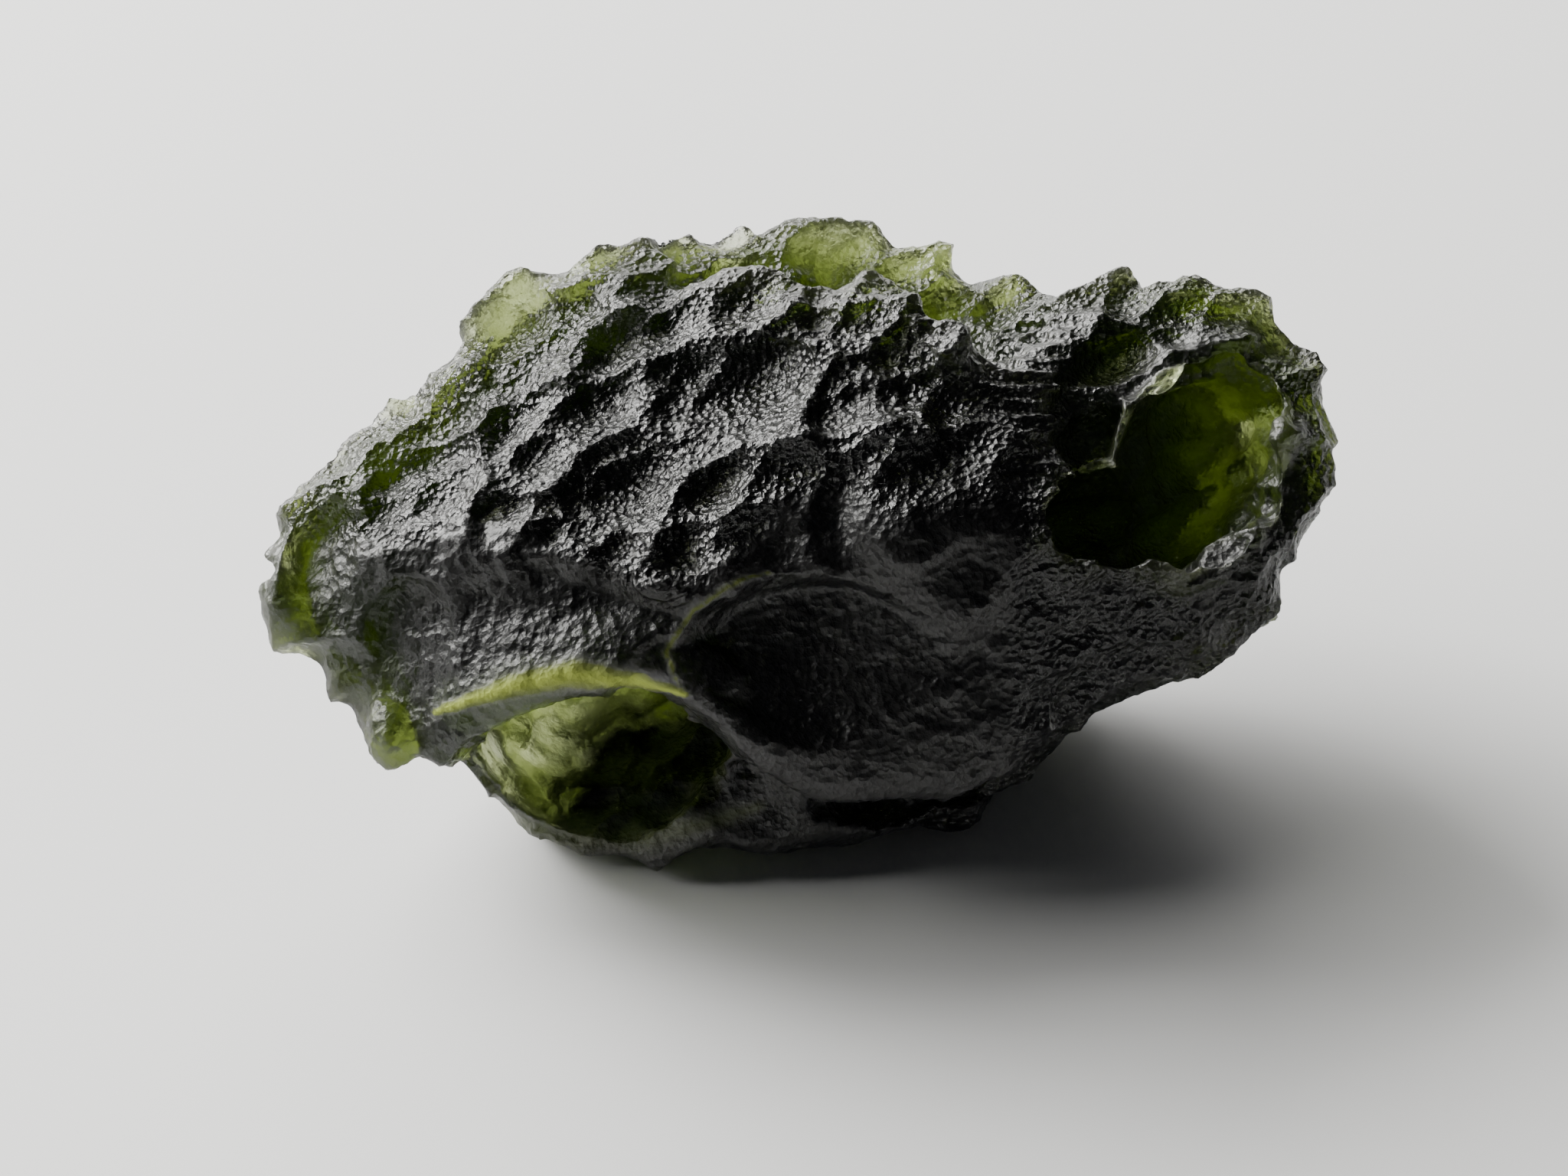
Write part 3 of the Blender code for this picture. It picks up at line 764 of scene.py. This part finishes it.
    def _stripes(self, points: np.ndarray, normals: np.ndarray) -> np.ndarray:
        """The level stripes on the band between the crest and the deep pit.

        Args:
            points: the skin's points.
            normals: the normals there.

        Returns:
            The depth of the stripes at each point.
        """
        u, v, reach_u, reach_v = self.stripes
        apart = np.hypot((points[:, 0] - u) / reach_u, (points[:, 1] - v) / reach_v)
        seen = (points[:, 2] > self.stripes_back) & (normals[:, 2] > self.stripes_facing)
        fade = np.clip(self.stripes_edge - apart, 0, 1) * seen
        return self.stripe_height * np.sin(math.tau * points[:, 1] / self.stripe_spacing) * fade


@dataclass(frozen=True)
class NodeTree:
    """The node tree of one material."""

    tree: bpy.types.NodeTree

    def give(self, node: bpy.types.ShaderNode, inputs: dict[str | int, object]) -> None:
        """Sets or links a node's inputs.

        Args:
            node: the node.
            inputs: for each input, its value or the socket that it is linked to.
        """
        for name, given in inputs.items():
            if isinstance(given, Socket):
                self.tree.links.new(given, node.inputs[name])
            else:
                node.inputs[name].default_value = given

    def add(self, kind: str, inputs: dict[str | int, object]) -> bpy.types.ShaderNode:
        """Adds a node of a kind, named without its "ShaderNode", and sets or links its inputs."""
        node = self.tree.nodes.new("ShaderNode" + kind)
        self.give(node, inputs)
        return node

    def place(self) -> Socket:
        """The place on the object, in its own coordinates."""
        return self.add("TexCoord", {}).outputs["Object"]

    def attribute(self, name: str) -> Socket:
        """A value that the mesh keeps for each of its points."""
        node = self.add("Attribute", {})
        node.attribute_name = name
        return node.outputs["Fac"]

    def work_out(self, operation: str, one: object, other: object) -> Socket:
        """Two values added, multiplied or the like."""
        node = self.add("Math", {0: one, 1: other})
        node.operation = operation
        return node.outputs["Value"]

    def spread(self, value: object, old: Pair, new: Pair) -> Socket:
        """A value spread from its old range over a new one."""
        ends = {"From Min": old[0], "From Max": old[1], "To Min": new[0], "To Max": new[1]}
        return self.add("MapRange", {"Value": value, **ends}).outputs["Result"]

    def mix(self, kind: str, share: object, one: object, other: object) -> Socket:
        """Mixes two values.

        Args:
            kind: FLOAT, VECTOR or RGBA.
            share: share of the other value.
            one: a value or a socket.
            other: a value or a socket.

        Returns:
            The mixed value.
        """
        node = self.add("Mix", {})
        node.data_type = kind
        turn = ("FLOAT", "VECTOR", "RGBA").index(kind)
        self.give(node, {0: share, 2 * turn + 2: one, 2 * turn + 3: other})
        return node.outputs[turn]

    def bump(self, height: object, distance: float) -> Socket:
        """The normal of a surface with a pattern on it that stands this high, in metres."""
        return self.add("Bump", {"Height": height, "Distance": distance, "Strength": 1.0}).outputs["Normal"]


@dataclass(frozen=True)
class EtchedGlass:
    """Olive green glass that takes up more blue and red than green light.

    Its scalloped skin is finely pitted, its smooth front face and the walls of its hollows are satin with
    faint streaks along the flow, and its thin lips are frosted and painted with a pale yellow-green glow.
    """

    name: str = "tektite glass"
    ior: float = 1.49
    density: float = 2700.0  # strength of the colour, for a metre of glass
    tint: Triple = (0.603, 0.655, 0.355)

    pitted_roughness: Pair = (0.27, 0.39)  # least and most, from patch to patch
    patch_size: float = 2.0 * MM
    patch_spread: Pair = (0.3, 0.7)  # range of the patches' noise that makes the difference
    pit_size: float = 0.24 * MM
    pit_height: float = 0.10 * MM
    grain_fineness: float = 2.5  # pit sizes to one grain size
    grain_share: float = 0.4  # height of the grain between the pits, as a share of theirs

    satin_roughness: float = 0.50
    satin_share: float = 0.55  # the rest of the look of satin places is the pitted one
    streak_size: float = 0.22 * MM
    streak_height: float = 0.04 * MM
    streak_stretch: Triple = (1.0, 1.0, 0.55)
    streak_turn: Triple = (0.0, -55.0, 15.0)  # in degrees

    frosted_roughness: float = 1.0
    # Colour painted on the lips as a glow, standing in for light shining through thin glass
    painted_glow_colour: Triple = (0.48, 0.57, 0.10)
    painted_glow_tinge: float = 4.0  # how fast the painted glow colour comes in
    frost_clearness: float = 0.2  # share of the light that goes straight through the most frosted glass

    def material(self) -> bpy.types.Material:
        """Builds the glass material.

        Returns:
            The material, with its colour in the volume and its pits in the surface.
        """
        material = bpy.data.materials.new(self.name)
        material.use_nodes = True
        tree = NodeTree(material.node_tree)
        satin = tree.work_out("MULTIPLY", tree.attribute("satin"), self.satin_share)
        frost_and_painted_glow = tree.attribute("frost_and_painted_glow")
        painted_glow_share = tree.work_out("MULTIPLY", frost_and_painted_glow, self.painted_glow_tinge)
        tree.give(material.node_tree.nodes["Principled BSDF"], {
            # The base colour paints the lips with a pale yellow-green glow
            "Base Color": tree.mix("RGBA", painted_glow_share, (1, 1, 1, 1), (*self.painted_glow_colour, 1)),
            "Metallic": 0.0,
            "Roughness": self._roughness(tree, satin, frost_and_painted_glow),
            "IOR": self.ior,
            "Normal": tree.mix("VECTOR", satin, self._pits(tree), self._streaks(tree)),
            "Transmission Weight": tree.spread(frost_and_painted_glow, (0, 1), (1, self.frost_clearness)),
        })
        colour = tree.add("VolumeAbsorption", {"Color": (*self.tint, 1), "Density": self.density})
        tree.give(material.node_tree.nodes["Material Output"], {"Volume": colour.outputs["Volume"]})
        return material

    def _roughness(self, tree: NodeTree, satin: Socket, frost_and_painted_glow: Socket) -> Socket:
        """Roughness of the surface, uneven where it is pitted.

        Args:
            tree: the material's nodes.
            satin: the share of the satin look.
            frost_and_painted_glow: how frosted the surface is.

        Returns:
            The roughness.
        """
        patches = tree.add("TexNoise", {"Vector": tree.place(), "Scale": 1 / self.patch_size})
        pitted = tree.spread(patches.outputs["Fac"], self.patch_spread, self.pitted_roughness)
        skin = tree.mix("FLOAT", satin, pitted, self.satin_roughness)
        return tree.mix("FLOAT", frost_and_painted_glow, skin, self.frosted_roughness)

    def _pits(self, tree: NodeTree) -> Socket:
        """Round pits side by side, with a finer grain on them.

        Args:
            tree: the material's nodes.

        Returns:
            The normal of the pitted surface.
        """
        pits = tree.add("TexVoronoi", {"Vector": tree.place(), "Scale": 1 / self.pit_size})
        fineness = self.grain_fineness / self.pit_size
        grain = tree.add("TexNoise", {"Vector": tree.place(), "Scale": fineness, "Detail": 1})
        low = tree.work_out("MULTIPLY", grain.outputs["Fac"], self.grain_share)
        return tree.bump(tree.work_out("ADD", pits.outputs["Distance"], low), self.pit_height)

    def _streaks(self, tree: NodeTree) -> Socket:
        """Fine streaks, drawn out along the flow of the glass.

        Args:
            tree: the material's nodes.

        Returns:
            The normal of the streaked surface.
        """
        turn = [math.radians(angle) for angle in self.streak_turn]
        mapping = {"Vector": tree.place(), "Rotation": turn, "Scale": self.streak_stretch}
        drawn_out = tree.add("Mapping", mapping).outputs["Vector"]
        look = {"Vector": drawn_out, "Scale": 1 / self.streak_size, "Detail": 2}
        return tree.bump(tree.add("TexNoise", look).outputs["Fac"], self.streak_height)


@dataclass
class GlassLump:
    """The lump of glass, in place of its solid."""

    node: str = NODE
    plan_grain: float = 0.22  # edge of a voxel of the skin that the etching is laid out on
    etch_grain: float = 0.125  # of the skin that is etched
    grain: float = 0.105  # and of the finished skin
    softening: int = 9  # rounds of softening of the normals on the skin of plan_grain
    faces: int = 190_000  # triangles of the finished piece
    tangled: float = 0.3  # least cosine between a point's normal and its neighbours'
    sample: int = 5  # of so many points of the solid, one is used to lay the skin on it
    haste: float = 1.5  # how much further than its mean gap the skin slides each time
    weld: float = 1e-7  # how near the plane of the flats a point counts as on it, in metres
    sections: Sections = field(default_factory=Sections)
    finish: EtchedGlass = field(default_factory=EtchedGlass)

    BOSSES = (
        Ellipsoid("dark peak", (2.0, 7.6, -0.1), (1.5, 1.3, 1.3)),
        Ellipsoid("left tooth", (-13.4, -6.3, 1.2), (0.8, 1.2, 0.7), turn=20),
        Ellipsoid("back tooth", (15.1, -2.1, -3.2), (1.1, 2.0, 1.6), turn=-15),
    )
    HOLLOWS = (
        Ellipsoid("pit mouth", (12.5, 2.9, 3.2), (3.2, 4.0, 3.3), turn=-18),
        Ellipsoid("deep pit", (12.7, 2.5, 1.1), (2.2, 3.9, 4.0), turn=-27),
        Ellipsoid("upper pit", (9.2, 4.2, 1.9), (1.2, 2.6, 1.9), turn=-5),
        Ellipsoid("slot", (9.8, 0.6, 2.4), (2.6, 1.6, 4.4), turn=12),
        Ellipsoid("arch", (-6.6, -6.0, -1.3), (4.1, 3.1, 5.7), pitch=40),
        Ellipsoid("arch mouth", (-6.4, -7.9, 1.8), (3.7, 2.3, 3.4)),
        Ellipsoid("arch crown", (-7.2, -5.0, 0.5), (4.3, 1.9, 2.6)),
        Ellipsoid("right arch", (3.2, -9.0, 0.6), (3.4, 1.3, 2.4), pitch=20),
        Ellipsoid("gully", (1.6, 9.6, -2.6), (5.2, 1.9, 1.0), turn=-10),
        Ellipsoid("notch", (-12.3, -9.0, -1.0), (1.0, 2.2, 6.0)),
        Ellipsoid("tip notch", (-18.4, -1.1, -0.6), (1.1, 0.45, 4.0)),
    )

    def build(self) -> bpy.types.Object:
        """Builds the lump and dresses it.

        Returns:
            The finished piece, which rides on the root body and replaces the solid.
        """
        piece = self.sections.build()
        piece.name = piece.data.name = "tektite_lump"
        for boss in self.BOSSES:
            boss.work_on(piece, Cut.BOSS)
        for hollow in self.HOLLOWS:
            hollow.work_on(piece, Cut.HOLLOW)
        log.info("shaped")
        front = SmoothFront(self.sections)
        self._etch(piece, Etching(front))
        log.info("etched")
        self._one_skin(piece, self.grain)
        self._keep_the_lump(piece)
        log.info("one skin")
        finishes_and_painted_glow = FineEtching(front).work_on(piece)
        log.info("etched finely")
        self._note(piece, finishes_and_painted_glow)
        self._thin_out(piece)
        self._untangle(piece)
        self._lay_on_solid(piece)
        self._wear_flats(piece)
        self._dress(piece)
        return piece

    def _etch(self, piece: bpy.types.Object, etching: Etching) -> None:
        """Lays the etching out on a coarse skin, as on the solid, and etches it into a fine one.

        Args:
            piece: the lump, with its hollows cut.
            etching: the basins and the scallops.
        """
        make_active(piece)
        bpy.ops.object.duplicate()
        plan = bpy.context.object
        self._one_skin(plan, self.plan_grain)
        basins = etching.basins_on(plan)
        etching.sink(plan, basins, self.softening)
        scallops = etching.scallops_on(plan)
        bpy.data.objects.remove(plan)
        self._one_skin(piece, self.etch_grain)
        rounds = round(self.softening * (self.plan_grain / self.etch_grain) ** 2)
        etching.sink(piece, basins, rounds)
        etching.etch(piece, scallops, rounds)

    @staticmethod
    def _one_skin(piece: bpy.types.Object, grain: float) -> None:
        """Makes the piece one skin of even faces.

        Args:
            piece: the piece.
            grain: the edge of a voxel.
        """
        remesh = piece.modifiers.new("one skin", "REMESH")
        remesh.mode = "VOXEL"
        remesh.voxel_size = grain
        apply_modifier(piece, remesh)

    @staticmethod
    def _keep_the_lump(piece: bpy.types.Object) -> None:
        """Leaves the largest shell, without the crumbs and sealed bubbles of the etching.

        Args:
            piece: the piece, which keeps its name.
        """
        make_active(piece)
        bpy.ops.mesh.separate(type="LOOSE")
        shells = sorted(bpy.context.selected_objects, key=lambda shell: len(shell.data.vertices))
        largest = shells.pop()
        if largest is not piece:
            piece.data, largest.data = largest.data, piece.data
            shells.remove(piece)
            shells.append(largest)
        for crumb in shells:
            bpy.data.objects.remove(crumb)

    @staticmethod
    def _note(piece: bpy.types.Object, finishes_and_painted_glow: dict[str, np.ndarray]) -> None:
        """Keeps where each finish and the painted glow are, for the material."""
        for name, shares in finishes_and_painted_glow.items():
            piece.data.attributes.new(name, "FLOAT", "POINT").data.foreach_set("value", shares)

    def _thin_out(self, piece: bpy.types.Object) -> None:
        """Thins the piece out to at most faces triangles.

        Args:
            piece: the finely etched piece.
        """
        piece.data.calc_loop_triangles()
        count = len(piece.data.loop_triangles)
        if count > self.faces:
            thin = piece.modifiers.new("fewer faces", "DECIMATE")
            thin.ratio = self.faces / count
            apply_modifier(piece, thin)

    def _untangle(self, piece: bpy.types.Object, rounds: int = 4) -> None:
        """Moves points that face against their neighbours to the middle of them.

        Args:
            piece: the thinned piece.
            rounds: how many times they are looked for.
        """
        for _ in range(rounds):
            facing = (normals_of(piece.data) * soft_normals(piece.data, 3)).sum(axis=1)
            tangled = facing < self.tangled
            points = points_of(piece.data)
            points[tangled] = softened(piece.data, points, 1)[tangled]
            put_points(piece, points)
            log.info("%d points untangled", tangled.sum())

    def _lay_on_solid(self, piece: bpy.types.Object, rounds: int = 8) -> None:
        """Leans the piece back, in metres, and slides it to where it lies closest on the solid.

        Args:
            piece: the piece, in the lump's own frame.
            rounds: how many times it is slid.
        """
        lean = Matrix((
            (1, 0, 0),
            (0, math.sin(LEAN), -math.cos(LEAN)),
            (0, math.cos(LEAN), math.sin(LEAN)),
        ))
        piece.data.transform((lean * MM).to_4x4())
        solid = points_of(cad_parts[self.node].data)[:: self.sample]
        points = points_of(piece.data)
        slide = (solid.min(axis=0) + solid.max(axis=0) - points.min(axis=0) - points.max(axis=0)) / 2
        surface = surface_of(piece.data)
        for _ in range(rounds):
            places = [Vector(place) for place in solid - slide]
            gaps = [place - surface.find_nearest(place)[0] for place in places]
            slide = slide + self.haste * np.array(gaps).mean(axis=0)
        piece.data.transform(Matrix.Translation(slide))
        log.info("laid on the solid, slid by %s mm", np.round(slide / MM, 2))

    def _wear_flats(self, piece: bpy.types.Object) -> None:
        """Wears the lowest crests flat, where the lump stands.

        Args:
            piece: the piece, leant back and in metres.
        """
        make_active(piece)
        bpy.ops.object.mode_set(mode="EDIT")
        bpy.ops.mesh.select_all(action="SELECT")
        bpy.ops.mesh.bisect(
            plane_co=(0, 0, 0), plane_no=(0, 0, -1), use_fill=True, clear_outer=True, threshold=self.weld
        )
        bpy.ops.object.mode_set(mode="OBJECT")

    def _dress(self, piece: bpy.types.Object) -> None:
        """Gives the piece its glass and its place in the frame.

        Args:
            piece: the finished piece.
        """
        make_active(piece)
        bpy.ops.object.shade_smooth()
        piece.data.materials.clear()
        piece.data.materials.append(self.finish.material())
        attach(piece, "root")
        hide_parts(self.node)


@dataclass(frozen=True)
class SoftLight:
    """A square soft light that faces the object."""

    name: str
    towards: Triple  # direction from the object to the light
    distance: float
    size: float
    power: float
    colour: Triple = (1.0, 1.0, 1.0)

    def build(self, target: Vector) -> bpy.types.Object:
        """Places the light.

        Args:
            target: the point that the light faces.

        Returns:
            The light's object.
        """
        lamp = bpy.data.lights.new(self.name, "AREA")
        lamp.size = self.size
        lamp.energy = self.power
        lamp.color = self.colour
        holder = bpy.data.objects.new(self.name, lamp)
        bpy.context.scene.collection.objects.link(holder)
        way = Vector(self.towards).normalized()
        holder.location = target + way * self.distance
        holder.rotation_euler = way.to_track_quat("Z", "Y").to_euler()
        return holder


@dataclass
class Studio:
    """The table, the lights and the camera."""

    table_size: float = 3.0
    table_colour: Triple = (0.88, 0.88, 0.88)
    table_roughness: float = 0.9
    table_sheen: float = 0.2
    lights: tuple[SoftLight, ...] = (
        SoftLight("window", (-0.66, 0.58, 0.45), 0.45, 0.30, 6.6, DAYLIGHT),
        SoftLight("far window", (-0.15, 0.93, 0.36), 0.55, 0.36, 2.6, DAYLIGHT),
        SoftLight("sky", (-0.82, 0.20, 0.54), 0.50, 0.34, 2.4, DAYLIGHT),
    )
    room_colour: Triple = (0.9, 0.92, 1.0)
    room_strength: float = 0.03
    lens: float = 85.0
    film: float = 36.0  # width of the picture in the camera, in millimetres
    nearest: float = 0.005  # what is nearer to the camera isn't seen
    elevation: float = math.radians(40)
    distance: float = 0.121
    aim: Vector = field(default_factory=lambda: Vector((0.00018, -0.00263, 0.00979)))
    shift: Pair = (-0.0151, -0.0322)

    def build(self) -> None:
        """Builds the table, the lights and the camera."""
        self._table()
        for light in self.lights:
            light.build(self.aim)
        self._room()
        self._camera()

    def _table(self) -> None:
        """A plain pale table top."""
        deselect_all()
        bpy.ops.mesh.primitive_plane_add(size=self.table_size, location=(0, 0, 0))
        table = bpy.context.object
        table.name = "table"
        paper = bpy.data.materials.new("pale paper")
        paper.use_nodes = True
        shader = paper.node_tree.nodes["Principled BSDF"]
        shader.inputs["Base Color"].default_value = (*self.table_colour, 1)
        shader.inputs["Roughness"].default_value = self.table_roughness
        shader.inputs["Specular IOR Level"].default_value = self.table_sheen
        table.data.materials.append(paper)

    def _room(self) -> None:
        """The weak light of the room all round."""
        world = bpy.data.worlds.new("room")
        world.use_nodes = True
        background = world.node_tree.nodes["Background"]
        background.inputs["Color"].default_value = (*self.room_colour, 1)
        background.inputs["Strength"].default_value = self.room_strength
        bpy.context.scene.world = world

    def _camera(self) -> None:
        """The camera, in front and above."""
        lens = bpy.data.cameras.new("camera")
        lens.lens = self.lens
        lens.sensor_width = self.film
        lens.clip_start = self.nearest
        lens.shift_x, lens.shift_y = self.shift
        holder = bpy.data.objects.new("camera", lens)
        bpy.context.scene.collection.objects.link(holder)
        back = Vector((0, -math.cos(self.elevation), math.sin(self.elevation)))
        holder.location = self.aim + back * self.distance
        holder.rotation_euler = (math.pi / 2 - self.elevation, 0, 0)
        bpy.context.scene.camera = holder


def main() -> None:
    """Builds the glass lump and the studio round it."""
    logging.basicConfig(level=logging.INFO, format="%(asctime)s %(message)s")
    lump = GlassLump().build()
    log.info("%s: %d faces", lump.name, len(lump.data.polygons))
    Studio().build()
    log.info("studio built")


if __name__ == "__main__":
    main()
